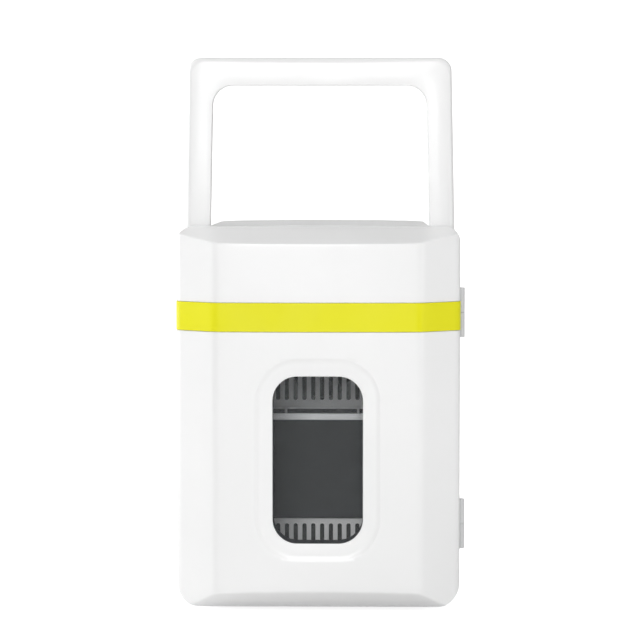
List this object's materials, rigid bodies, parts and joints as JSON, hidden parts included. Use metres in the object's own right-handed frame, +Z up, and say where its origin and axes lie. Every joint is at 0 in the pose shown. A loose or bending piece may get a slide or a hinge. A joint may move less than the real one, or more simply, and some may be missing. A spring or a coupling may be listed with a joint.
{
  "type": "mini fridge",
  "caption": "Small white thermoelectric fridge with a hinged front door, a windowed front, a lime trim band and a carry handle that folds back over the top.",
  "frame": {"origin": "on the floor, under the middle of the body", "axes": "+X to the hinge side, +Y to the back, +Z up; the door faces -Y"},
  "size_m": [0.255, 0.2926, 0.49],
  "materials": {
    "white_gloss": "gloss",
    "liner_white": "satin",
    "lime_trim": "satin",
    "insulation_foam": "matte",
    "clear_acrylic": "polished",
    "dark_plastic": "satin",
    "black_plastic": "satin",
    "light_grey_plastic": "satin",
    "grey_rubber": "matte",
    "dark_anodised": "satin",
    "satin_aluminium": "satin",
    "raw_aluminium": "satin",
    "plated_steel": "satin",
    "module_ceramic": "matte",
    "board_green": "satin"
  },
  "bodies": {
    "cabinet": {"cabinet_shell": "white_gloss", "inner_liner": "liner_white", "back_cover": "liner_white", "cabinet_foam": "insulation_foam", "power_light": "clear_acrylic", "inner_fan_frame": "black_plastic", "outer_fan_frame": "black_plastic", "ac_inlet": "black_plastic", "dc_inlet": "black_plastic", "switch_housing": "black_plastic", "upper_grille": "light_grey_plastic", "lower_grille": "light_grey_plastic", "upper_hinge_cabinet_leaf": "light_grey_plastic", "lower_hinge_cabinet_leaf": "light_grey_plastic", "foot_front_left": "grey_rubber", "foot_front_right": "grey_rubber", "foot_rear_left": "grey_rubber", "foot_rear_right": "grey_rubber", "cold_plate": "dark_anodised", "plate_rail": "satin_aluminium", "cold_sink": "raw_aluminium", "hot_sink": "raw_aluminium", "transfer_block": "raw_aluminium", "upper_hinge_pin": "plated_steel", "lower_hinge_pin": "plated_steel", "handle_pivot_left": "plated_steel", "handle_pivot_right": "plated_steel", "clamp_screw_left": "plated_steel", "clamp_screw_right": "plated_steel", "cover_screw_top_left": "plated_steel", "cover_screw_top_right": "plated_steel", "cover_screw_bottom_left": "plated_steel", "cover_screw_bottom_right": "plated_steel", "cabinet_hinge_screw_upper_top": "plated_steel", "cabinet_hinge_screw_upper_bottom": "plated_steel", "cabinet_hinge_screw_lower_top": "plated_steel", "cabinet_hinge_screw_lower_bottom": "plated_steel", "peltier_module": "module_ceramic", "control_board": "board_green"},
    "door": {"door_shell": "white_gloss", "trim_band": "lime_trim", "door_liner": "liner_white", "door_foam": "insulation_foam", "outer_pane": "clear_acrylic", "pane_spacer": "dark_plastic", "inner_pane": "clear_acrylic", "door_gasket": "grey_rubber", "upper_hinge_door_leaf": "light_grey_plastic", "lower_hinge_door_leaf": "light_grey_plastic", "door_hinge_screw_upper_top": "plated_steel", "door_hinge_screw_upper_bottom": "plated_steel", "door_hinge_screw_lower_top": "plated_steel", "door_hinge_screw_lower_bottom": "plated_steel"},
    "handle": {"carry_handle": "white_gloss"},
    "shelf": {"shelf": "clear_acrylic"},
    "inner_fan": {"inner_fan_rotor": "dark_plastic"},
    "outer_fan": {"outer_fan_rotor": "dark_plastic"},
    "rocker": {"mode_rocker": "dark_plastic"}
  },
  "joints": [
    {"name": "door_hinge", "type": "hinge", "parent": "cabinet", "child": "door", "pos_m": [0.125, -0.095, 0.1698], "axis": [0, 0, 1], "range_deg": [0, 150]},
    {"name": "handle_fold", "type": "hinge", "parent": "cabinet", "child": "handle", "pos_m": [0, -0.05, 0.325], "axis": [-1, 0, 0], "range_deg": [0, 90]},
    {"name": "shelf_slide", "type": "slide", "parent": "cabinet", "child": "shelf", "axis": [0, -1, 0], "range_m": [0, 0.014]},
    {"name": "inner_fan_spin", "type": "hinge", "parent": "cabinet", "child": "inner_fan", "pos_m": [0, 0.0743, 0.202], "axis": [0, 1, 0], "continuous": true},
    {"name": "outer_fan_spin", "type": "hinge", "parent": "cabinet", "child": "outer_fan", "pos_m": [0, 0.1334, 0.106], "axis": [0, 1, 0], "continuous": true},
    {"name": "mode_rocker_tilt", "type": "hinge", "parent": "cabinet", "child": "rocker", "pos_m": [0.06, 0.1405, 0.037], "axis": [0, 0, 1], "range_deg": [-12, 12]}
  ]
}
